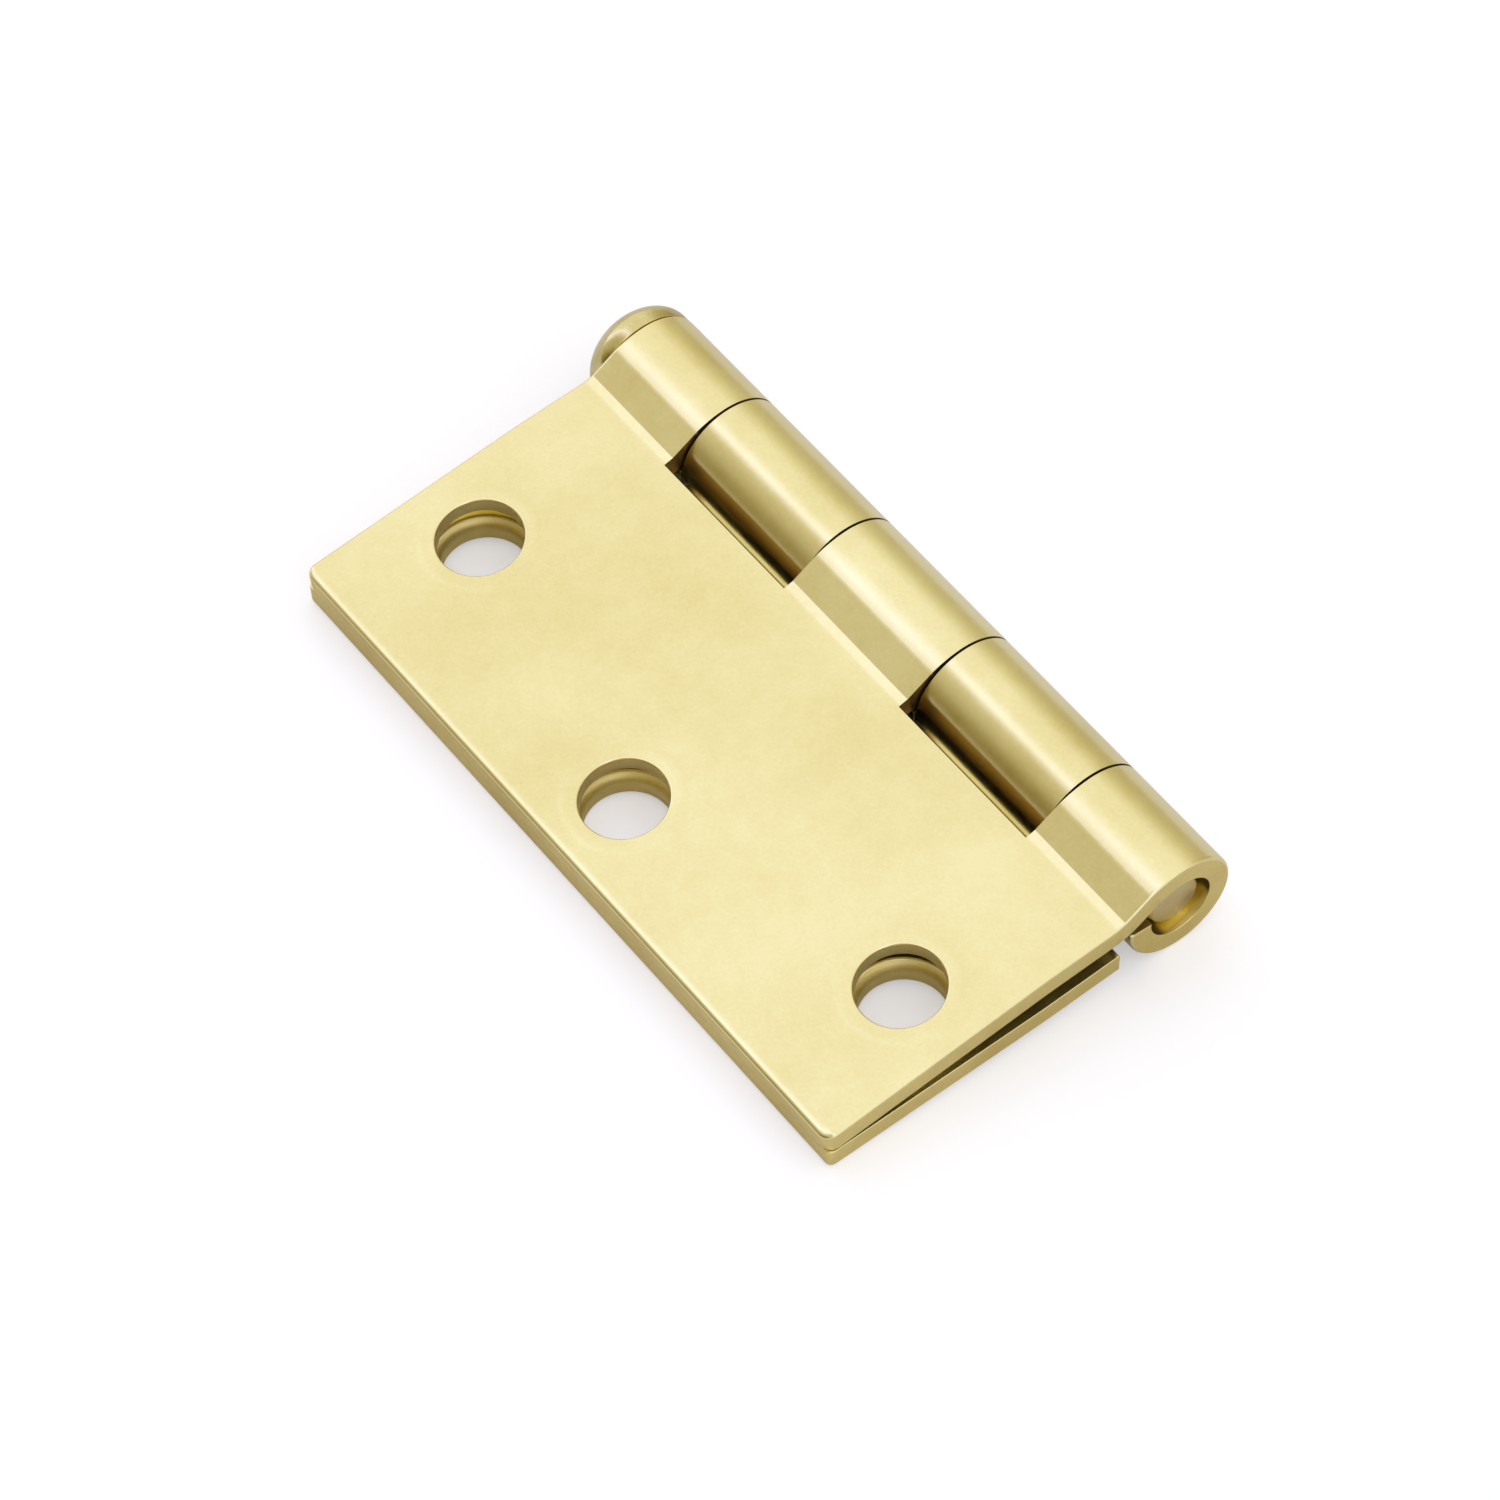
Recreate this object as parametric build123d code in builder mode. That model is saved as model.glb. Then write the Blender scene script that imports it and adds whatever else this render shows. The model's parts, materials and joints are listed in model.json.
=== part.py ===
from build123d import *
from math import acos, asin, atan2, cos, degrees, hypot, pi, sin
import os

# A five-knuckle butt hinge of swaged sheet metal, lying closed on a flat surface.
# X runs along the pin, with the pin's head at -X. The leaves reach towards -Y.
# The origin is under the middle of the whole hinge, on the surface it lies on.
# Millimetres. Inside a leaf, "reach" is measured from the pin's centre towards
# the free edge, and "rise" from the pin's centre towards the leaf's outer face.

# ---------------------------------------------------------------- leaves
hinge_length = 76.2      # both leaves and the barrel, end to end
leaf_width = 38.1        # pin centre to a leaf's free edge
gauge = 2.24             # sheet thickness
inner_face_rise = 1.6    # flat inner face from the pin's centre plane, left by the swage
swage_margin = 0.335     # from the barrel to where the outer face bends up into the ramp
swage_radius = 2.0       # soft bend at the foot of the ramp
notch_clearance = 1.285  # bottom of a notch to the knuckle that turns in it
corner_radius = 1.2      # free corners, seen from above
edge_roll = 0.45         # rounding that the press leaves round the outer face
rest_gap = 0.06          # the two free edges, closed

# ---------------------------------------------------------------- barrel
end_knuckle = 12.3       # first and last knuckle
second_knuckle = 17.1    # second and fourth knuckle
knuckle_gap = 0.25       # between neighbouring knuckles
bore_radius = 3.225      # inside of the curled knuckles
curl_end_gap = 0.25      # from the curl's cut end to the sheet it curls back to

# ---------------------------------------------------------------- screw holes
hole_radius = 4.05       # straight land at the outer face
sink_width = 0.65        # cone's mouth in the inner face, wider than the land by this
sink_angle = 90          # full angle of the countersink
hole_end_margin = 7.75   # end holes, from the leaf's end
end_hole_margin = 14.0   # end holes, from the free edge
middle_hole_margin = 7.4  # middle hole, from the free edge

# ---------------------------------------------------------------- pin
pin_clearance = 0.05     # radial, all round
head_setback = 0.05      # head's radius short of the barrel's
head_rim = 0.75          # straight rim under the dome
dome_height = 3.3
dome_edge = 0.8          # rounding between the rim and the dome
head_gap = 0.05          # head to the first knuckle
tail_recess = 0.8        # pin tip inside the last knuckle
tip_taper = 2.2          # length of the tapered tip
tip_drop = 0.72          # loss of radius over the taper

cut_margin = 1.0         # how far a cutting tool runs past the metal

# ---------------------------------------------------------------- derived sizes
barrel_radius = bore_radius + gauge
outer_face_rise = inner_face_rise + gauge
swage_reach = barrel_radius + swage_margin
notch_reach = barrel_radius + notch_clearance
pin_radius = bore_radius - pin_clearance
tip_radius = pin_radius - tip_drop
head_radius = barrel_radius - head_setback
half_length = hinge_length / 2
head_length = head_gap + head_rim + dome_height
sink_radius = hole_radius + sink_width

# The ramp is a tangent from the swage line to the outside of the barrel.
ramp_angle = atan2(outer_face_rise, swage_reach) + acos(
    barrel_radius / hypot(swage_reach, outer_face_rise)
)
inner_swage_reach = (bore_radius - inner_face_rise * sin(ramp_angle)) / cos(ramp_angle)

# The curl goes almost full circle, and stops short of the sheet's inner face.
curl_end = min(
    asin((inner_face_rise - curl_end_gap) / barrel_radius),
    ramp_angle - acos((bore_radius - curl_end_gap) / barrel_radius),
)
curl_turn = degrees(2 * pi + curl_end - ramp_angle)

# Knuckle spans along the pin, first to last.
second_start = end_knuckle + knuckle_gap - half_length
second_end = second_start + second_knuckle
first_span = (-half_length, second_start - knuckle_gap)
second_span = (second_start, second_end)
third_span = (second_end + knuckle_gap, -second_end - knuckle_gap)
fourth_span = (-second_end, -second_start)
fifth_span = (knuckle_gap - second_start, half_length)

# The hinge lies on its barrel and on the lower leaf's rolled free edge.
rolled_reach = leaf_width - edge_roll
rolled_rise = outer_face_rise - edge_roll
lower_tilt = asin((barrel_radius - edge_roll) / hypot(rolled_reach, rolled_rise)) - atan2(
    rolled_rise, rolled_reach
)
upper_tilt = lower_tilt + 2 * atan2(inner_face_rise - rest_gap / 2, leaf_width)
front_reach = max(
    rolled_reach * cos(upper_tilt) + rolled_rise * sin(upper_tilt) + edge_roll,
    leaf_width * cos(upper_tilt) + inner_face_rise * sin(upper_tilt),
    leaf_width * cos(lower_tilt) - inner_face_rise * sin(lower_tilt),
)
pin_centre = Vector(head_length / 2, (front_reach - barrel_radius) / 2, barrel_radius)


def leaf_frame(tilt, side):
    """Plane across the pin: local X is reach and local Y is rise. side is 1 or -1."""
    free_edge_way = (0, -cos(tilt), -sin(tilt))
    return Plane(origin=pin_centre, x_dir=free_edge_way, z_dir=(-side, 0, 0))


def screw_frame(frame):
    """Plane on a leaf's inner face, facing off it: local X is still reach."""
    origin = frame.from_local_coords(Vector(0, inner_face_rise, 0))
    return Plane(origin=origin, x_dir=frame.x_dir, z_dir=-frame.y_dir)


def notch(span):
    """Where the other leaf's knuckle turns: its span and the gap on each side."""
    return (span[0] - knuckle_gap, span[1] + knuckle_gap)


screw_places = [
    (leaf_width - end_hole_margin, half_length - hole_end_margin),
    (leaf_width - end_hole_margin, hole_end_margin - half_length),
    (leaf_width - middle_hole_margin, 0),
]

# ---------------------------------------------------------------- section of both leaves
with BuildSketch() as leaf_section:
    with BuildLine():
        outer_flat = Line((leaf_width, outer_face_rise), (swage_reach, outer_face_rise))
        outer_curl = CenterArc((0, 0), barrel_radius, degrees(ramp_angle), curl_turn)
        Line(outer_flat @ 1, outer_curl @ 0)
        inner_curl = CenterArc((0, 0), bore_radius, degrees(ramp_angle), curl_turn)
        Line(outer_curl @ 1, inner_curl @ 1)
        inner_ramp = Line(inner_curl @ 0, (inner_swage_reach, inner_face_rise))
        inner_flat = Line(inner_ramp @ 1, (leaf_width, inner_face_rise))
        Line(inner_flat @ 1, outer_flat @ 0)
    make_face()
    corners = leaf_section.vertices()
    fillet(corners.sort_by_distance(outer_flat @ 1)[0], swage_radius)
    fillet(corners.sort_by_distance(inner_ramp @ 1)[0], swage_radius + gauge)


def notch_outline():
    """Everything of the section from the far side of the barrel to the notch's bottom."""
    far_side = -barrel_radius - cut_margin
    with BuildSketch() as outline:
        with Locations(((far_side + notch_reach) / 2, 0)):
            Rectangle(notch_reach - far_side, 2 * (barrel_radius + cut_margin))
    return outline.sketch


# ---------------------------------------------------------------- three-knuckle leaf
upper_frame = leaf_frame(upper_tilt, 1)

with BuildPart() as three_knuckle_leaf:
    with BuildSketch(upper_frame.offset(-half_length)):
        add(leaf_section.sketch)
    extrude(amount=hinge_length)
    for start, end in (notch(second_span), notch(fourth_span)):
        with BuildSketch(upper_frame.offset(start)):
            add(notch_outline())
        extrude(amount=end - start, mode=Mode.SUBTRACT)
    standing = three_knuckle_leaf.edges().filter_by(Axis((0, 0, 0), upper_frame.y_dir))
    fillet(standing.sort_by(Axis(pin_centre, upper_frame.x_dir))[-2:], corner_radius)
    along_pin = three_knuckle_leaf.edges().filter_by(Axis.X)
    free_edges = along_pin.group_by(Axis(pin_centre, upper_frame.x_dir))[-1]
    fillet(free_edges.sort_by(Axis(pin_centre, upper_frame.y_dir))[-1], edge_roll)
    with Locations(screw_frame(upper_frame)):
        with Locations(*screw_places):
            CounterSinkHole(hole_radius, sink_radius, 2 * gauge, sink_angle)

# ---------------------------------------------------------------- two-knuckle leaf
lower_frame = leaf_frame(lower_tilt, -1)

with BuildPart() as two_knuckle_leaf:
    with BuildSketch(lower_frame.offset(-half_length)):
        add(leaf_section.sketch)
    extrude(amount=hinge_length)
    for start, end in (notch(first_span), notch(third_span), notch(fifth_span)):
        with BuildSketch(lower_frame.offset(start)):
            add(notch_outline())
        extrude(amount=end - start, mode=Mode.SUBTRACT)
    standing = two_knuckle_leaf.edges().filter_by(Axis((0, 0, 0), lower_frame.y_dir))
    fillet(standing.sort_by(Axis(pin_centre, lower_frame.x_dir))[-2:], corner_radius)
    along_pin = two_knuckle_leaf.edges().filter_by(Axis.X)
    free_edges = along_pin.group_by(Axis(pin_centre, lower_frame.x_dir))[-1]
    fillet(free_edges.sort_by(Axis(pin_centre, lower_frame.y_dir))[-1], edge_roll)
    with Locations(screw_frame(lower_frame)):
        with Locations(*screw_places):
            CounterSinkHole(hole_radius, sink_radius, 2 * gauge, sink_angle)

# ---------------------------------------------------------------- pin
# Half outline of the pin: X along it, Y its radius, revolved about its own centre line.
pin_frame = Plane(origin=pin_centre, x_dir=(1, 0, 0), z_dir=(0, -1, 0))
tip_x = half_length - tail_recess
seat_x = -half_length - head_gap
rim_x = seat_x - head_rim
dome_radius = (head_radius**2 + dome_height**2) / (2 * dome_height)
dome_sweep = degrees(asin(head_radius / dome_radius))

with BuildPart() as hinge_pin:
    with BuildSketch(pin_frame) as pin_half:
        with BuildLine():
            dome_centre = (rim_x - dome_height + dome_radius, 0)
            dome = CenterArc(dome_centre, dome_radius, 180, -dome_sweep)
            rim = Line(dome @ 1, (seat_x, head_radius))
            Polyline(
                rim @ 1,
                (seat_x, pin_radius),
                (tip_x - tip_taper, pin_radius),
                (tip_x, tip_radius),
                (tip_x, 0),
                dome @ 0,
            )
        make_face()
        fillet(pin_half.vertices().sort_by_distance(rim @ 0)[0], dome_edge)
    revolve(axis=Axis(pin_centre, (1, 0, 0)))

# ---------------------------------------------------------------- write each piece
os.makedirs("parts", exist_ok=True)

three_knuckle_leaf.part.label = "three_knuckle_leaf"
export_step(three_knuckle_leaf.part, "parts/three_knuckle_leaf.step")

two_knuckle_leaf.part.label = "two_knuckle_leaf"
export_step(two_knuckle_leaf.part, "parts/two_knuckle_leaf.step")

hinge_pin.part.label = "hinge_pin"
export_step(hinge_pin.part, "parts/hinge_pin.step")
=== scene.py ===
# %% [markdown]
# # A brass-plated butt hinge, lying closed
#
# The hinge is three pieces of metal: two leaves that are each pressed and curled from one flat
# piece of sheet, and a round-headed pin that runs through the knuckles of both. A measured CAD
# model gives every size and joint. Here the same three pieces are shaped again as a press shop
# would, with the soft edges and low lips that punching and buffing leave, and get their
# finishes.

# %% Load the measured model
import json
from math import asin, cos, hypot, pi, radians, sin, tan
import bmesh
import bpy
from mathutils import Matrix, Vector


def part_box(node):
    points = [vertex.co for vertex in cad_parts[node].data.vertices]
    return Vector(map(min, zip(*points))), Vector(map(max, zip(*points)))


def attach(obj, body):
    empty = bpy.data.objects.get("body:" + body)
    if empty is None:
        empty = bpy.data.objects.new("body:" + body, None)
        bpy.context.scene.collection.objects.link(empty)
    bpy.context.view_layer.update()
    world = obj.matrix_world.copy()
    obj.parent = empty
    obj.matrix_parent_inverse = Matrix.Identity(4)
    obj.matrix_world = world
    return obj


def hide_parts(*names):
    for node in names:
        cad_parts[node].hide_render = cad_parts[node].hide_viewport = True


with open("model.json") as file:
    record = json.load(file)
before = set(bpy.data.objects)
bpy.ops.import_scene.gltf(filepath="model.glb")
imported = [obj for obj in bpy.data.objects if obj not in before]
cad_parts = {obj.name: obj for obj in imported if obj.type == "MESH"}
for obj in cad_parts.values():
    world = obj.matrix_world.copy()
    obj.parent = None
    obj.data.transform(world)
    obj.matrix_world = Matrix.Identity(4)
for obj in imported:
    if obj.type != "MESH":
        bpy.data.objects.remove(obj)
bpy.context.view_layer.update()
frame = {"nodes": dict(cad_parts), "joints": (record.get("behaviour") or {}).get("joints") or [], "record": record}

print("CAD pieces:", sorted(frame["nodes"]))

# %% [markdown]
# ## Sizes
#
# The main sizes are read from the CAD model, so that the two can't drift apart. The pin's
# centre comes from the swing joint, and because the barrel rests on the table, its height is
# the barrel's radius. Blender works in metres, so a millimetre is given a name. Three small
# distances say when two places count as the same: on the CAD mesh, on the new meshes, and when
# doubled vertices are merged.

# %% Read the sizes from the frame
MM = 0.001
hair = 0.01 * MM
speck = 0.001 * MM
merge_gap = 0.0001 * MM
along_pin = Vector((1, 0, 0))
mounts = {mount["name"]: mount for mount in frame["record"]["mounts"]}
joints = {joint["name"]: joint for joint in frame["joints"]}
pin_centre = Vector(joints["leaf_swing"]["pos_m"])
barrel_radius = pin_centre.z
upper_low, upper_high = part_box("three_knuckle_leaf")
half_length = (upper_high.x - upper_low.x) / 2

print("pin centre (mm):", [round(c / MM, 3) for c in pin_centre])
print("barrel radius (mm):", round(barrel_radius / MM, 3))

# %% [markdown]
# A hinge leaf is easiest to think about in its own directions: "reach" runs from the pin's
# centre to the leaf's free edge, and "rise" runs from the pin's centre to the leaf's outer face.
# The CAD record says which way each leaf's back faces, so the sheet's width and thickness can
# be read off the CAD vertices with two dot products. The bends between the flat part and the
# barrel, and the small radii that the press leaves, are chosen further down.


# %% Reach and rise of one leaf
def leaf_lie(leaf):
    """Directions of a leaf's reach and rise, from the face that lies against the door."""
    rise_way = Vector(mounts[leaf + "_leaf_back"]["axis"]).normalized()
    reach_way = along_pin.cross(rise_way)
    if reach_way.y > 0:
        reach_way.negate()
    return reach_way, rise_way


def leaf_points(leaf, node):
    """Every CAD vertex of a leaf as (along, reach, rise) from the pin's centre."""
    reach_way, rise_way = leaf_lie(leaf)
    spokes = [v.co - pin_centre for v in frame["nodes"][node].data.vertices]
    return [(s.x, s.dot(reach_way), s.dot(rise_way)) for s in spokes]


upper_points = leaf_points("upper", "three_knuckle_leaf")
leaf_width = max(reach for along, reach, rise in upper_points)
free_edge = [rise for along, reach, rise in upper_points if reach > leaf_width - hair]
inner_rise = min(free_edge)
upper_back = Vector(mounts["upper_leaf_back"]["pos_m"]) - pin_centre
outer_rise = upper_back.dot(leaf_lie("upper")[1])
gauge = outer_rise - inner_rise
middle_rise = (outer_rise + inner_rise) / 2

print("leaf width, sheet thickness (mm):", round(leaf_width / MM, 2), round(gauge / MM, 3))

# %% [markdown]
# One leaf has three knuckles and the other has two, and each leaf's screw holes are placed from
# its own free edge, so both are read for one leaf at a time. The vertices round the bore are
# enough to find a knuckle's two ends, because the sharp edges of the bore have no others. The
# holes are mounts in the record, with a place, a radius and the length of their straight wall.


# %% Knuckles and holes of one leaf
def knuckle_spans(points):
    """Ends along the pin of a leaf's knuckles, from the vertices round the bore."""
    bore = barrel_radius - gauge + hair
    ends = sorted({round(along, 5) for along, reach, rise in points if hypot(reach, rise) < bore})
    return list(zip(ends[0::2], ends[1::2]))


def screw_holes(leaf):
    """Centre of each screw hole as (along, distance from the free edge)."""
    reach_way = leaf_lie(leaf)[0]
    holes = []
    for name, mount in mounts.items():
        if name.startswith(leaf + "_leaf_screw"):
            spoke = Vector(mount["pos_m"]) - pin_centre
            holes.append((spoke.x, leaf_width - spoke.dot(reach_way)))
    return holes


hole_sizes = mounts["upper_leaf_screw_1"]["dims"]
hole_radius = hole_sizes["r_mm"] * MM
land_length = hole_sizes["length_mm"] * MM
upper_spans = knuckle_spans(upper_points)
print("upper knuckles (mm):", [[round(end / MM, 2) for end in span] for span in upper_spans])
print("screw hole radius and straight wall (mm):", hole_sizes["r_mm"], hole_sizes["length_mm"])

# %% [markdown]
# ## How the sheet is bent
#
# Seen from its end, a leaf is flat, sets down very slightly towards the pin, lifts in a narrow
# band where the swaging tool pressed it, turns up sharply into a ramp, rounds a broad shoulder
# and runs on round the pin almost full circle. A bent sheet keeps the length of its middle
# line, so the shape is a list of stretches along that line, each with a length and a turn. Any
# point of a flat blank can then be sent to its bent place: walk that far along the stretches,
# and step off the middle line by the point's height. Modelling the blank flat and bending it
# last is what the press does, and it lets the holes, notches and rolled edges be made while
# everything is still square.

# %% Walk along the middle line
stretches = []
place = Vector((leaf_width, middle_rise))
heading = pi


def walk(place, heading, length, turn):
    """Where a stretch ends and which way it then heads: an arc, or a straight with no turn."""
    if not turn:
        return place + length * Vector((cos(heading), sin(heading))), heading
    ahead = heading + turn
    sweep = Vector((sin(ahead) - sin(heading), cos(heading) - cos(ahead)))
    return place + length / turn * sweep, ahead


def lay(length, turn, edges):
    """Add a stretch to the middle line, with this many edges across it."""
    global place, heading
    stretches.append((length, turn, edges))
    place, heading = walk(place, heading, length, turn)


print("the sheet starts at reach and rise (mm):", [round(c / MM, 2) for c in place])

# %% [markdown]
# The first stretches run from the free edge to the foot of the ramp. The notches end level with
# the flat part, a clearance away from the other leaf's barrel, so the line where they end is
# counted along the sheet here too. A lift turns the sheet's face by only a few degrees, but a
# few degrees are what makes a polished band shine apart from its neighbours.

# %% The stretches up to the ramp
curl_radius = barrel_radius - gauge / 2
notch_clearance = 1.285 * MM
notch_reach = barrel_radius + notch_clearance
set_down = radians(2.5)
set_down_bend = 60 * MM
set_down_reach = 16 * MM
band_reach = 7.1 * MM
band_lift = radians(9)
band_bend = 3.5 * MM
band_width = 0.7 * MM
ramp_lift = radians(25)
sharp_inside = 0.4 * MM
sharp_bend = gauge / 2 + sharp_inside

lay(leaf_width - set_down_reach, 0, edges=0)
lay(set_down_bend * set_down, set_down, edges=4)
lay((place.x - band_reach) / cos(set_down), 0, edges=1)
notch_line = sum(length for length, turn, edges in stretches) + band_reach - notch_reach
lowest_inner = place.y - gauge / 2
lay(band_bend * (set_down + band_lift), -set_down - band_lift, edges=5)
lay(band_width, 0, edges=1)
lay(sharp_bend * (ramp_lift - band_lift), band_lift - ramp_lift, edges=5)
print("foot of the ramp, reach and rise (mm):", [round(c / MM, 2) for c in place])

# %% [markdown]
# The ramp's length and the broad shoulder's radius aren't free: together they have to end on
# the circle round the pin, heading along it. Each moves the end of the path in one fixed
# direction, so the two lengths are the answer of a two-by-two system. The curl then runs on
# until its end is a small gap short of the leaf's inner face.

# %% The ramp, the shoulder and the curl
shoulder_turn = radians(6.5)
shoulder_bend = 2.5 * MM
broad_turn = radians(20)
curl_end_gap = 0.2 * MM
curl_edges = 56

after_shoulder = heading + shoulder_turn
after_broad = after_shoulder + broad_turn
origin = Vector((0, 0))
ramp_way = Vector((cos(heading), sin(heading)))
shoulder_move = walk(origin, heading, shoulder_bend * shoulder_turn, shoulder_turn)[0]
broad_way = walk(origin, after_shoulder, broad_turn, broad_turn)[0]
target = curl_radius * Vector((sin(after_broad), -cos(after_broad)))
both_ways = Matrix((ramp_way, broad_way)).transposed()
ramp_length, broad_bend = both_ways.inverted() @ (target - place - shoulder_move)

lay(ramp_length, 0, edges=1)
lay(shoulder_bend * shoulder_turn, shoulder_turn, edges=3)
lay(broad_bend * broad_turn, broad_turn, edges=6)
curl_end = asin((lowest_inner - curl_end_gap) / barrel_radius)
curl_turn = 2 * pi + curl_end - (heading - pi / 2)
lay(curl_radius * curl_turn, curl_turn, edges=curl_edges)
blank_length = sum(length for length, turn, edges in stretches)
print("ramp and shoulder radius (mm):", round(ramp_length / MM, 2), round(broad_bend / MM, 2))
print("length of the flat blank (mm):", round(blank_length / MM, 2))

# %% [markdown]
# Two helpers use the finished list. One sends a point of the flat blank to its bent place. The
# other lists where the blank needs an edge across it, because a mesh can only bend at an edge:
# the curl has one every few degrees, and the long flat has none.


# %% Send a point of the blank to its bent place
def bent(distance, height):
    """Reach and rise of a point this far from the free edge, this high off the middle line."""
    place, heading = Vector((leaf_width, middle_rise)), pi
    for length, turn, edges in stretches:
        part = min(distance / length, 1)
        place, heading = walk(place, heading, length * part, turn * part)
        distance -= length * part
        if part < 1 or distance <= 0:
            break
    return place.x + height * sin(heading), place.y - height * cos(heading)


def bend_stations():
    """Distances at which the blank needs an edge across it so that the bends come out round."""
    stations = []
    start = 0
    for length, turn, edges in stretches:
        stations += [start + length * step / edges for step in range(edges)]
        start += length
    return stations


print("edges across the bends:", len(bend_stations()))

# %% [markdown]
# ## The punched blank
#
# The blank is a flat plate with notches between its knuckles. It starts as one grid face, which
# bisect_plane scores along every line that matters: the knuckle ends, the bottom of the notches
# and a square cell round each hole. The faces in the notches are deleted, and the rest is
# extruded by the sheet's thickness. Scoring first keeps every later step on clean four-sided
# faces. In the blank, X runs along the pin, Y from the free edge and Z off the middle of the
# sheet.


# %% Score a few faces at a time
def score(bm, place, way, faces=None):
    """Cut these faces, or every face, along the plane at this place."""
    faces = faces or bm.faces[:]
    edges = {edge for face in faces for edge in face.edges}
    verts = {vert for face in faces for vert in face.verts}
    geom = [*verts, *edges, *faces]
    bmesh.ops.bisect_plane(bm, geom=geom, dist=merge_gap, plane_co=place, plane_no=way)


def faces_between(bm, axis, low, high):
    """Faces whose middle lies between two places on an axis."""
    return [face for face in bm.faces if low < face.calc_center_median()[axis] < high]


cell_half = 6.3 * MM
print("square cell round a hole (mm):", round(2 * cell_half / MM, 1))


# %% Score the outline and the cells
def score_cells(bm, holes):
    """Score a square cell round each hole, in the plate only."""
    for along, distance in holes:
        for side in (-cell_half, cell_half):
            score(bm, (along + side, 0, 0), (1, 0, 0), faces_between(bm, 1, 0, notch_line))
        for side in (-cell_half, cell_half):
            column = faces_between(bm, 0, along - cell_half, along + cell_half)
            column = [face for face in column if face.calc_center_median().y < notch_line]
            score(bm, (0, distance + side, 0), (0, 1, 0), column)


def in_notch(face, spans):
    """Whether a face lies beyond the plate and between two knuckles."""
    middle = face.calc_center_median()
    in_knuckle = any(start < middle.x < end for start, end in spans)
    return middle.y > notch_line and not in_knuckle


print("bottom of the notches, from the free edge (mm):", round(notch_line / MM, 2))


# %% Notch and thicken the plate
def notched_plate(spans, holes):
    """The flat blank: scored, notched and as thick as the sheet."""
    bm = bmesh.new()
    bmesh.ops.create_grid(bm, x_segments=1, y_segments=1, size=0.5)
    bmesh.ops.scale(bm, vec=(2 * half_length, blank_length, 1), verts=bm.verts)
    bmesh.ops.translate(bm, vec=(0, blank_length / 2, -gauge / 2), verts=bm.verts)
    score(bm, (0, notch_line, 0), (0, 1, 0))
    score_cells(bm, holes)
    for ends in spans:
        for along in ends:
            score(bm, (along, 0, 0), (1, 0, 0), faces_between(bm, 1, notch_line, blank_length))
    spare = [face for face in bm.faces if in_notch(face, spans)]
    bmesh.ops.delete(bm, geom=spare, context="FACES")
    grown = bmesh.ops.extrude_face_region(bm, geom=bm.faces[:])
    top = [item for item in grown["geom"] if isinstance(item, bmesh.types.BMVert)]
    bmesh.ops.translate(bm, vec=(0, 0, gauge), verts=top)
    bmesh.ops.recalc_face_normals(bm, faces=bm.faces)
    print("notched plate:", len(bm.faces), "faces,", len(spare), "notches")
    return bm


# %% [markdown]
# ## Rolled edges
#
# A punched sheet isn't sharp all round. The punch drags the outer outline down into a soft
# roll, which is wide along the plate's rim and narrow in the notches, and leaves the inner
# outline with hardly more than a broken edge. The two free corners are rounded as well, more on
# one leaf than on the other. A bevel of a few segments makes each of them. The corners come
# first, so that the roll can follow their curve.

# %% Find the outline and roll it
corner_radius = {"upper": 1.2 * MM, "lower": 0.6 * MM}
edge_roll = 0.38 * MM
knuckle_roll = 0.12 * MM
edge_break = 0.08 * MM


def roll(bm, edges, width, segments):
    """Round these edges, and bring the face normals up to date."""
    bmesh.ops.bevel(
        bm,
        geom=edges,
        offset=width,
        offset_type="OFFSET",
        segments=segments,
        profile=0.5,
        affect="EDGES",
        material=-1,
        clamp_overlap=True,
    )
    bm.normal_update()


def level(edge, height):
    """Whether an edge lies at this height."""
    return all(abs(v.co.z - height) < speck for v in edge.verts)


def outline_edges(bm, height):
    """Edges of the blank's outline at this height: one face lies flat and the other stands."""
    found = []
    for edge in bm.edges:
        standing = sum(abs(face.normal.z) < 0.5 for face in edge.link_faces)
        if standing == 1 and level(edge, height):
            found.append(edge)
    return found


print("rolls and break (mm):", [round(w / MM, 2) for w in (edge_roll, knuckle_roll, edge_break)])


# %% Round the corners and the edges
def at_leaf_end(edge):
    """Whether an edge runs along one of a leaf's two ends."""
    return all(abs(abs(v.co.x) - half_length) < speck for v in edge.verts)


def on_leaf_rim(edge):
    """Whether an edge runs along a leaf's end, its free edge or the corner between them."""
    near_free_edge = all(v.co.y < max(corner_radius.values()) + speck for v in edge.verts)
    return at_leaf_end(edge) or near_free_edge


def round_the_edges(bm, free_corner):
    """Round the free corners seen from above, then the outer and the inner outlines."""
    ends = [edge for edge in bm.edges if at_leaf_end(edge)]
    corners = [edge for edge in ends if all(v.co.y < speck for v in edge.verts)]
    roll(bm, corners, free_corner, segments=8)
    rim = [edge for edge in outline_edges(bm, gauge / 2) if on_leaf_rim(edge)]
    roll(bm, rim, edge_roll, segments=5)
    roll(bm, outline_edges(bm, gauge / 2), knuckle_roll, segments=2)
    roll(bm, outline_edges(bm, -gauge / 2), edge_break, segments=2)
    print("rounded corners:", len(corners), "rolled rim edges:", len(rim))


# %% [markdown]
# Before plating, the leaves are buffed, and the wheel takes off most where it runs over an
# edge. So the outer face leans down a little just before the free edge. One more score gives
# the lean a line to start from, and the vertices beyond it are lowered by their distance from
# it. It has to be done after the roll, which then leans with the face.

# %% Lean the free edge down
dub_width = 0.95 * MM
dub_angle = radians(11)


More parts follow.
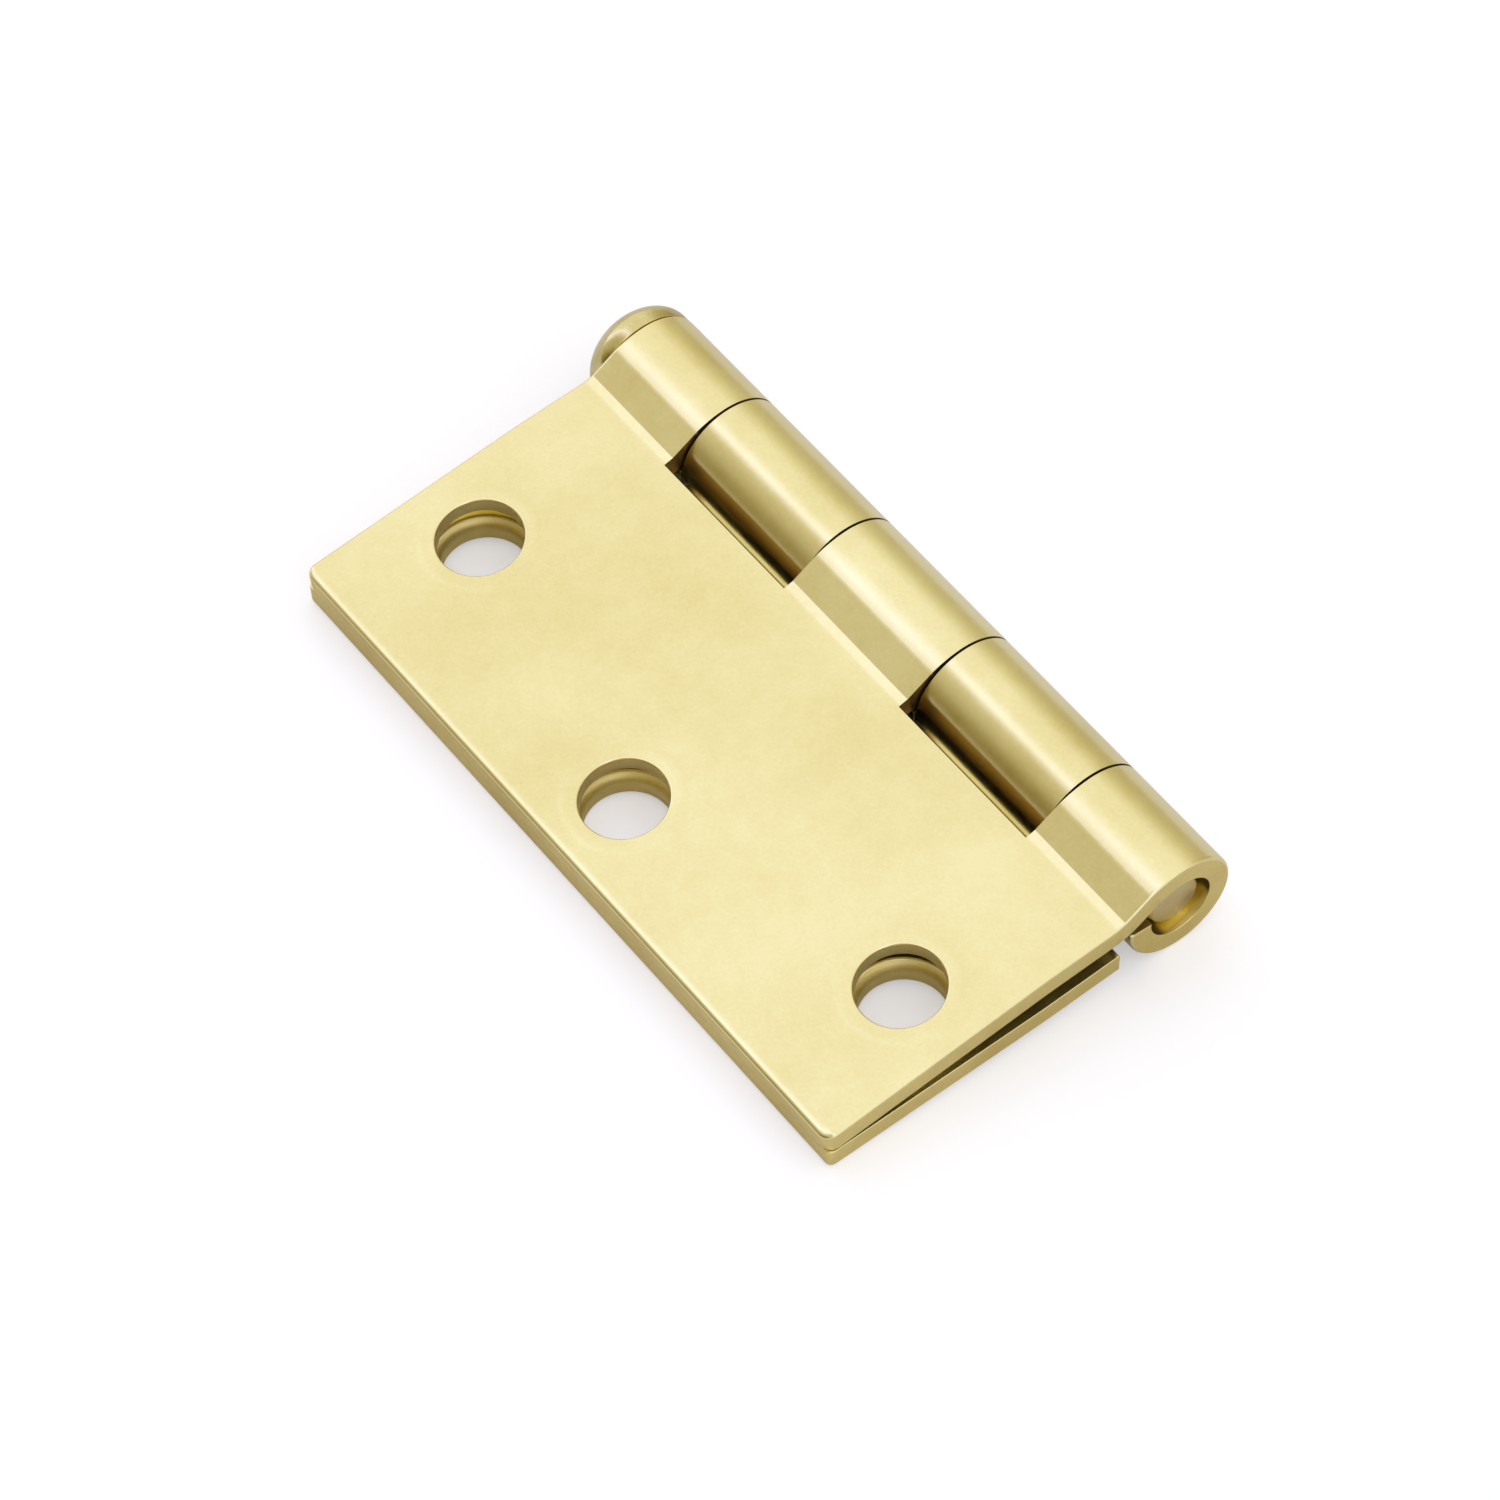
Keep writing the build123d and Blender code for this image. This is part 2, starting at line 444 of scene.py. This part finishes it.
def dub_free_edge(bm):
    """Lean the outer face down a little just before the free edge, as buffing does."""
    score(bm, (0, dub_width, 0), (0, 1, 0))
    for vert in bm.verts:
        if vert.co.z > 0 and vert.co.y < dub_width:
            vert.co.z -= (dub_width - vert.co.y) * tan(dub_angle) * vert.co.z / (gauge / 2)


print("free edge leans down by (mm):", round(dub_width * tan(dub_angle) / MM, 3))

# %% [markdown]
# ## A punched and countersunk hole
#
# Sinking the screw's cone into one face pushes a low soft lip up round the hole on the other,
# and the punch leaves a rolled rim and a straight land between the two. All that is round about
# one axis, so the half outline is drawn once and spun full circle, as on a lathe.

# %% Half outline of a hole
lip_width = 1.75 * MM
lip_height = 0.05 * MM
lip_steps = 9
rim_roll = 0.18 * MM
rim_steps = 5
sink_depth = gauge - land_length
sink_lip = 0.5 * MM


def hole_outline():
    """Half outline from the lip's outer edge, down the land and out over the cone."""
    rim = hole_radius + rim_roll
    points = []
    for step in range(lip_steps + 1):
        part = step / lip_steps
        swell = lip_height * sin(pi * part) ** 2
        points.append((rim + lip_width * (1 - part), gauge / 2 + swell))
    for step in range(1, rim_steps + 1):
        angle = pi / 2 * step / rim_steps
        points.append((rim - rim_roll * sin(angle), gauge / 2 - rim_roll * (1 - cos(angle))))
    points.append((hole_radius, sink_depth - gauge / 2))
    points.append((hole_radius + sink_depth, -gauge / 2))
    points.append((hole_radius + sink_depth + sink_lip, -gauge / 2))
    return points


print("hole outline:", len(hole_outline()), "points, cone depth (mm):", round(sink_depth / MM, 2))

# %% [markdown]
# The spun hole has to become part of the plate. Its widest circle is bridged to the square cell
# that was scored for it, top and bottom, which leaves the sheet round the hole flat and the
# hole truly round. A boolean cut would leave long thin triangles that show as streaks on shiny
# metal. bridge_loops needs to know which way round two loops run, and can't tell when one lies
# inside the other in the same plane, so the hole is spun a little above the plate, bridged
# there, and then lowered into place.

# %% Spin an outline
hole_steps = 64
lifted = 1 * MM


def spin_outline(bm, outline, centre, axis, steps):
    """Spin a half outline full circle, and return the vertices of the turned shape."""
    before = set(bm.verts)
    corners = [bm.verts.new(point) for point in outline]
    line = [bm.edges.new(pair) for pair in zip(corners, corners[1:])]
    bmesh.ops.spin(
        bm,
        geom=corners + line,
        cent=centre,
        axis=axis,
        angle=2 * pi,
        steps=steps,
        use_merge=True,
    )
    return [vert for vert in bm.verts if vert not in before]


print("a hole is spun in", hole_steps, "steps of (deg):", 360 / hole_steps)


# %% Join a hole to the plate
def open_loop(bm, middle, height):
    """Boundary edges at this height within the cell round the hole."""

    def near(vert):
        away = vert.co - middle
        return max(abs(away.x), abs(away.y)) < cell_half + hair

    sides = [edge for edge in bm.edges if edge.is_boundary and level(edge, height)]
    return [edge for edge in sides if all(near(v) for v in edge.verts)]


def punch_hole(bm, along, distance):
    """Open the cell on both faces and join a spun hole to it."""
    middle = Vector((along, distance, 0))
    lids = []
    for face in bm.faces:
        if (face.calc_center_median() - middle).xy.length < hair:
            lids.append(face)
    bmesh.ops.delete(bm, geom=lids, context="FACES")
    squares = {}
    for height in (gauge / 2, -gauge / 2):
        sides = open_loop(bm, middle, height)
        bmesh.ops.subdivide_edges(bm, edges=sides, cuts=hole_steps // 4 - 1)
        squares[height] = open_loop(bm, middle, height)
    outline = [(along + r, distance, z + lifted) for r, z in hole_outline()]
    turned = spin_outline(bm, outline, middle, (0, 0, 1), hole_steps)
    bmesh.ops.remove_doubles(bm, verts=turned, dist=merge_gap)
    turned = [vert for vert in turned if vert.is_valid]
    for height, square in squares.items():
        circle = open_loop(bm, middle, height + lifted)
        bmesh.ops.bridge_loops(bm, edges=square + circle)
    bmesh.ops.translate(bm, vec=(0, 0, -lifted), verts=turned)
    print("hole at (mm):", round(along / MM, 2), round(distance / MM, 2))


# %% [markdown]
# ## Handing a piece over
#
# Every piece ends the same way. Doubled vertices are merged, the faces are turned outwards and
# shaded smooth, and a Weighted Normal modifier lets the big flat faces keep their own normals,
# so that only the rolled edges and the curl look round.


# %% Turn a mesh into a finished piece
def new_object(name, bm):
    """Put a shape into the scene as an object."""
    mesh = bpy.data.meshes.new(name)
    bm.to_mesh(mesh)
    bm.free()
    made = bpy.data.objects.new(name, mesh)
    bpy.context.scene.collection.objects.link(made)
    return made


def finished_piece(name, bm, body, node):
    """Merge, face outwards, shade, and hand the piece over to the body it rides on."""
    bmesh.ops.remove_doubles(bm, verts=bm.verts, dist=merge_gap)
    bmesh.ops.recalc_face_normals(bm, faces=bm.faces)
    for face in bm.faces:
        face.smooth = True
    volume = bm.calc_volume(signed=True)
    piece = new_object(name, bm)
    shading = piece.modifiers.new("Weighted Normal", "WEIGHTED_NORMAL")
    shading.keep_sharp = True
    shading.weight = 50
    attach(piece, body)
    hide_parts(node)
    faces = len(piece.data.polygons)
    print(name, "faces:", faces, "volume (mm3):", round(volume / MM**3, 1))
    return piece


# %% [markdown]
# ## Bending the leaves
#
# Three kinds of surface show on a leaf: the pressed faces, the cut edges that the press leaves
# dull, and the cut edges inside the notches, which get a very dark colour as painted shade for
# the recess between the knuckles. Each gets a finish of its own, and the faces are sorted while
# the blank is still flat, when a cut edge is whatever doesn't face up or down. The countersunk
# cones face down more than the cut edges do, so the inner side has a limit of its own.

# %% Sort the faces by finish
cut_below = 0.3
cone_below = 0.75


def choose_coats(bm):
    """0 on the pressed faces, 1 on cut edges, 2 on cut edges inside the notches, whose dark colour is painted
    shade.
    """
    bm.normal_update()
    for face in bm.faces:
        middle = face.calc_center_median()
        cut = abs(face.normal.z) < (cut_below if middle.z > 0 else cone_below)
        inside = abs(middle.x) < half_length - edge_roll
        beyond = middle.y > notch_line - edge_break
        # Finish 2, on the cut edges inside the notches, is a very dark brass that paints the shade in the recess
        # between the knuckles.
        face.material_index = 2 if cut and inside and beyond else int(cut)


print("a cut edge leans from upright by less than (deg):", round(asin(cut_below) * 180 / pi, 1))

# %% [markdown]
# Both leaves go through the same press. The punched blank is scored across at every bend
# station, each vertex is sent to its bent place, and the leaf is laid where the CAD says its
# two directions point. Sending vertices through a function bends the sheet exactly, where a
# curve or an armature would only come close.


# %% Make both leaves
def make_leaf(leaf, node):
    """Punch, sort and bend one leaf, and hand it over."""
    points = leaf_points(leaf, node)
    holes = screw_holes(leaf)
    bm = notched_plate(knuckle_spans(points), holes)
    round_the_edges(bm, corner_radius[leaf])
    dub_free_edge(bm)
    for along, distance in holes:
        punch_hole(bm, along, distance)
    for station in bend_stations():
        score(bm, (0, station, 0), (0, 1, 0))
    choose_coats(bm)
    reach_way, rise_way = leaf_lie(leaf)
    for vert in bm.verts:
        along, distance, height = vert.co
        reach, rise = bent(distance, height)
        vert.co = pin_centre + along * along_pin + reach * reach_way + rise * rise_way
    return finished_piece(leaf + "_leaf_sheet", bm, leaf + "_leaf", node)


upper_leaf = make_leaf("upper", "three_knuckle_leaf")
lower_leaf = make_leaf("lower", "two_knuckle_leaf")

# %% [markdown]
# ## The pin
#
# The pin is cut from drawn rod. One end is upset into a mushroom head, and the other is
# tapered so that it finds its way through the knuckles. It is a turned shape, so its half
# outline is spun about its own centre line. The heading tool leaves the top of the dome a
# little flattened, and two powers close to one give the dome's quarter circle that look.

# %% Read the pin's sizes
pin_low, pin_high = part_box("hinge_pin")
head_radius = (pin_high.z - pin_low.z) / 2
bore_clearance = 0.05 * MM
pin_radius = barrel_radius - gauge - bore_clearance
pin_points = [v.co for v in frame["nodes"]["hinge_pin"].data.vertices]
pin_reach = [(p.x, hypot(p.y - pin_centre.y, p.z - pin_centre.z)) for p in pin_points]
past_dome = pin_low.x + 3 * MM
seat = min(x for x, r in pin_reach if r < pin_radius + hair and x > past_dome)
tip_radius = max(r for x, r in pin_reach if x > pin_high.x - hair)

print("pin and head radius (mm):", round(pin_radius / MM, 3), round(head_radius / MM, 3))
print("head rests at (mm):", round(seat / MM, 2), "tip radius:", round(tip_radius / MM, 3))

# %% Half outline of the pin
head_rim = 0.75 * MM
rim_edge = 0.18 * MM
rim_cut = 0.3 * rim_edge
dome_steps = 24
dome_height_power = 1.1
dome_width_power = 0.92
tip_taper = 2.2 * MM
tip_break = 0.15 * MM
tip_cut = 0.4 * tip_break


def pin_outline():
    """Half outline of the pin as (along, radius), from the dome's top to the tip."""
    rim_start = seat - head_rim
    height = rim_start - pin_low.x
    points = []
    for step in range(dome_steps + 1):
        angle = pi / 2 * step / dome_steps
        along = rim_start - height * cos(angle) ** dome_height_power
        points.append((along, head_radius * sin(angle) ** dome_width_power))
    points.append((seat - rim_edge, head_radius))
    points.append((seat - rim_cut, head_radius - rim_cut))
    points.append((seat, head_radius - rim_edge))
    points.append((seat, pin_radius))
    points.append((pin_high.x - tip_taper, pin_radius))
    points.append((pin_high.x - tip_break, tip_radius + tip_cut))
    points.append((pin_high.x, tip_radius - tip_break))
    points.append((pin_high.x, 0))
    return points


print("pin outline:", len(pin_outline()), "points")

# %% [markdown]
# The spin closes on itself, and the vertices on the centre line, where a full circle of steps
# meets, are merged into one. The flat tip is where the rod was cut off, so it gets a duller
# finish than the drawn side.

# %% Spin the pin
pin_steps = 96


def make_pin():
    """Spin the pin, mark its cut end, and hand it over."""
    bm = bmesh.new()
    outline = [(x, pin_centre.y + r, pin_centre.z) for x, r in pin_outline()]
    turned = spin_outline(bm, outline, pin_centre, along_pin, pin_steps)
    bmesh.ops.remove_doubles(bm, verts=turned, dist=speck)
    bm.normal_update()
    for face in bm.faces:
        face.material_index = int(all(v.co.x > pin_high.x - tip_break for v in face.verts))
    return finished_piece("headed_pin", bm, "pin", "hinge_pin")


pin = make_pin()

# %% [markdown]
# ## Shader sums as Python
#
# A pattern in a material is a sum of a few fields, and it reads best as one line of arithmetic.
# The class below wraps one output socket. Adding or multiplying two of them adds the Math node
# and returns its output, and one method adds any other node.


# %% A socket that can be added and multiplied
class Field:
    def __init__(self, tree, socket=None):
        self.tree = tree
        self.socket = socket

    def node(self, kind, settings=(), values=(), out=0):
        """Add a node: its settings first, then a value or a link for each of its sockets."""
        made = self.tree.nodes.new(kind)
        for name, value in dict(settings).items():
            if name == "stops":
                self.set_stops(made.color_ramp.elements, value)
            else:
                setattr(made, name, value)
        self.feed(made, values)
        return Field(self.tree, made.outputs[out])

    def feed(self, node, values):
        """Give each of these sockets of a node a value or a link."""
        for name, value in dict(values).items():
            if isinstance(value, Field):
                self.tree.links.new(value.socket, node.inputs[name])
            else:
                node.inputs[name].default_value = value

    def set_stops(self, elements, stops):
        while len(elements) < len(stops):
            elements.new(0.5)
        for element, (position, colour) in zip(elements, stops):
            element.position = position
            element.color = (*colour[:3], 1)

    def math(self, operation, first, second):
        return self.node("ShaderNodeMath", {"operation": operation}, {0: first, 1: second})

    def __add__(self, other):
        return self.math("ADD", self, other)

    def __radd__(self, other):
        return self.math("ADD", other, self)

    def __sub__(self, other):
        return self.math("SUBTRACT", self, other)

    def __rsub__(self, other):
        return self.math("SUBTRACT", other, self)

    def __mul__(self, other):
        return self.math("MULTIPLY", self, other)

    def __rmul__(self, other):
        return self.math("MULTIPLY", other, self)

    def mixed(self, low, high):
        """Colour between low and high by this field."""
        settings = {"data_type": "RGBA", "clamp_factor": True}
        return self.node("ShaderNodeMix", settings, {0: self, 6: low, 7: high}, out=2)


print("a field can be added, subtracted, multiplied and mixed into a colour")

# %% [markdown]
# ## Satin brass plating
#
# The leaves are plated with pale brass over a tumbled surface and then lacquered. What that
# shows is a soft, slightly cloudy sheen: the colour drifts a little between warm and pale over
# a few centimetres, and the reflections are broken by a fine orange peel. Noise on Object
# coordinates makes both, one noise at each scale, so the grain is the same size on every part.

# %% Plating material
noise_middle = 0.5
cloud_size, cloud_strength = 16 * MM, 2.0
mottle_size, mottle_dulling = 1.6 * MM, 0.08
grain_size, grain_strength, grain_dulling, grain_share = 0.3 * MM, 0.6, 0.06, 0.12


def new_material(name):
    """A material, the shader node in it and a field to add patterns with."""
    material = bpy.data.materials.new(name)
    material.use_nodes = True
    tree = material.node_tree
    return material, tree.nodes["Principled BSDF"], Field(tree)


def noise(field, place, size, detail):
    """Cloudy pattern whose lumps are about this size."""
    values = {"Vector": place, "Scale": 1 / size, "Detail": detail, "Roughness": 0.5}
    return field.node("ShaderNodeTexNoise", {"noise_dimensions": "3D"}, values)


def plating(name, pale, warm, gloss, peel, patchy=0.55):
    """Plated brass between two colours: roughness, orange-peel depth and how patchy it is."""
    material, shader, field = new_material(name)
    place = field.node("ShaderNodeTexCoord", out="Object")
    clouds = noise(field, place, cloud_size, 2)
    mottle = noise(field, place, mottle_size, 4)
    grain = noise(field, place, grain_size, 2)
    mottle_swing, grain_swing = mottle - noise_middle, grain - noise_middle
    drift = (clouds - noise_middle) * cloud_strength + mottle_swing * patchy
    base = (drift + grain_swing * grain_strength + noise_middle).mixed(warm, pale)
    dull = gloss + mottle_swing * mottle_dulling + grain_swing * grain_dulling
    skin = mottle * (1 - grain_share) + grain * grain_share
    bump = field.node("ShaderNodeBump", {}, {"Height": skin, "Distance": peel, "Strength": 1.0})
    field.feed(shader, {"Metallic": 1.0, "Base Color": base, "Roughness": dull, "Normal": bump})
    return material


print("noise sizes (mm):", [round(s / MM, 2) for s in (cloud_size, mottle_size, grain_size)])

# %% [markdown]
# The same pattern makes five finishes. The pressed faces are the smoothest and palest. The
# sheared edges are duller and warmer, because the plating bites less evenly on torn metal. The
# cut edges inside the notches get a very dark brown: painted shade for the recess between the
# knuckles. The pin is drawn from bronze rod, glossy and patchy with handling, and its sawn end
# is the dullest of all.

# %% The five finishes
leaf_brass = plating(
    "satin_brass",
    pale=(0.96, 0.87, 0.47, 1),
    warm=(0.85, 0.73, 0.33, 1),
    gloss=0.23,
    peel=0.005 * MM,
)
leaf_cut_brass = plating(
    "sheared_brass",
    pale=(0.90, 0.76, 0.32, 1),
    warm=(0.72, 0.57, 0.18, 1),
    gloss=0.45,
    peel=0.02 * MM,
)
# A very dark brown brass for the notch walls: painted shade for the recess between the knuckles.
notch_painted_shade = plating(
    "painted_notch_shade",
    pale=(0.42, 0.28, 0.09, 1),
    warm=(0.28, 0.18, 0.05, 1),
    gloss=0.45,
    peel=0.02 * MM,
)
pin_brass = plating(
    "drawn_bronze",
    pale=(0.90, 0.80, 0.38, 1),
    warm=(0.60, 0.49, 0.20, 1),
    gloss=0.17,
    peel=0.02 * MM,
    patchy=1.2,
)
pin_cut_brass = plating(
    "sawn_bronze",
    pale=(0.78, 0.65, 0.34, 1),
    warm=(0.56, 0.44, 0.20, 1),
    gloss=0.5,
    peel=0.03 * MM,
)
leaf_coats = (leaf_brass, leaf_cut_brass, notch_painted_shade)
finishes = ((upper_leaf, leaf_coats), (lower_leaf, leaf_coats), (pin, (pin_brass, pin_cut_brass)))
for piece, coats in finishes:
    for coat in coats:
        piece.data.materials.append(coat)
    print(piece.name, "wears", [coat.name for coat in coats])

# %% [markdown]
# ## Studio light
#
# Small shiny parts are shown best inside a light tent. Metal shows what it reflects, so the
# tent is planned by what each face should see: a wide white roof for the flat leaf and the top
# of the barrel, a brighter edge along one side of the roof that draws the line of light along
# the barrel, and warmer, dimmer walls for the ramp and the far side. The roof runs along the
# pin, so the light only has to change across it, which one colour ramp on the direction's Y
# does. Each band below is a place across the tent, from one wall at -1 to the other at 1, and
# the light it gives. In the ramp the bands are divided by the strength of the whole tent, so
# that the brightest of them is exactly one.

# %% Tent
tent_strength = 2.2
tent_bands = [
    (-1.00, (0.20, 0.15, 0.05)),
    (-0.90, (0.22, 0.17, 0.06)),
    (-0.84, (0.32, 0.27, 0.13)),
    (-0.78, (0.44, 0.39, 0.25)),
    (-0.68, (0.56, 0.52, 0.40)),
    (-0.57, (0.62, 0.57, 0.44)),
    (-0.42, (0.70, 0.66, 0.54)),
    (-0.33, (1.05, 1.06, 1.32)),
    (-0.23, (1.32, 1.38, 2.20)),
    (-0.12, (1.08, 1.10, 1.30)),
    (0.00, (0.98, 0.98, 1.02)),
    (0.45, (0.96, 0.95, 0.97)),
    (0.61, (0.82, 0.80, 0.70)),
    (0.73, (0.69, 0.65, 0.50)),
    (0.84, (0.57, 0.52, 0.38)),
    (1.00, (0.50, 0.45, 0.32)),
]


def make_tent():
    """Light the world by how far across the tent each direction points."""
    world = bpy.data.worlds.new("light_tent")
    bpy.context.scene.world = world
    world.use_nodes = True
    field = Field(world.node_tree)
    way = field.node("ShaderNodeTexCoord", out="Generated")
    across = field.node("ShaderNodeSeparateXYZ", {}, {0: way}, out="Y")
    stops = [((y + 1) / 2, [c / tent_strength for c in colour]) for y, colour in tent_bands]
    roof = field.node("ShaderNodeValToRGB", {"stops": stops}, {"Fac": across * 0.5 + 0.5})
    backdrop = world.node_tree.nodes["Background"]
    field.feed(backdrop, {"Color": roof, "Strength": tent_strength})
    print("tent bands:", len(stops))


make_tent()

# %% [markdown]
# The hinge lies on a white table, which takes its soft shadow. One big square is enough for
# that. The table glows a little, for the camera only, so that it stays white to the eye while
# its light doesn't fill the shadows in the metal.

# %% Table
table_half = 3.0
table_cloud = 400 * MM
table_grey = (0.77, 0.77, 0.78, 1)
table_white = (0.79, 0.79, 0.80, 1)
table_glow = 0.4


def make_table():
    """One large white square that glows for the camera only."""
    bm = bmesh.new()
    bmesh.ops.create_grid(bm, x_segments=1, y_segments=1, size=table_half)
    table = new_object("table", bm)
    material, shader, field = new_material("white_table")
    place = field.node("ShaderNodeTexCoord", out="Object")
    tone = noise(field, place, table_cloud, 2).mixed(table_grey, table_white)
    glow = field.node("ShaderNodeLightPath", out="Is Camera Ray") * table_glow
    field.feed(shader, {"Base Color": tone, "Emission Strength": glow, "Roughness": 0.9})
    field.feed(shader, {"Specular IOR Level": 0.1, "Emission Color": (1, 1, 1, 1)})
    table.data.materials.append(material)
    print("table side (m):", 2 * table_half)


make_table()

# %% [markdown]
# ## Camera
#
# A long lens from about half a metre keeps the hinge's parallel edges almost parallel. The
# camera is placed by its azimuth and elevation round the pin's centre, rolled a little, and
# then shifted sideways and up in its own view until the hinge sits well in the frame. The view
# transform is the plain Standard one, so that the brass keeps the colours chosen for it.

# %% Camera
camera_azimuth = radians(52.951)
camera_elevation = radians(53.709)
camera_roll = radians(-0.327)
camera_distance = 536.62 * MM
aim_right = -13.69 * MM
aim_up = -10.996 * MM
sensor_width = 36
focal_length = 145.8


def make_camera():
    """Set up the lens, and stand the camera in its place."""
    lens = bpy.data.cameras.new("camera")
    lens.sensor_width = sensor_width
    lens.lens = focal_length
    lens.clip_start = 10 * MM
    camera = bpy.data.objects.new("camera", lens)
    around = Matrix.Rotation(camera_azimuth, 4, "Z")
    tipped = Matrix.Rotation(pi / 2 - camera_elevation, 4, "X")
    rolled = Matrix.Rotation(camera_roll, 4, "Z")
    facing = around @ tipped @ rolled
    offset = facing @ Vector((aim_right, aim_up, camera_distance))
    camera.matrix_world = Matrix.Translation(pin_centre + offset) @ facing
    bpy.context.scene.collection.objects.link(camera)
    bpy.context.scene.camera = camera
    print("camera is away from the pin by (mm):", round(offset.length / MM, 1))


make_camera()
bpy.context.scene.view_settings.view_transform = "Standard"
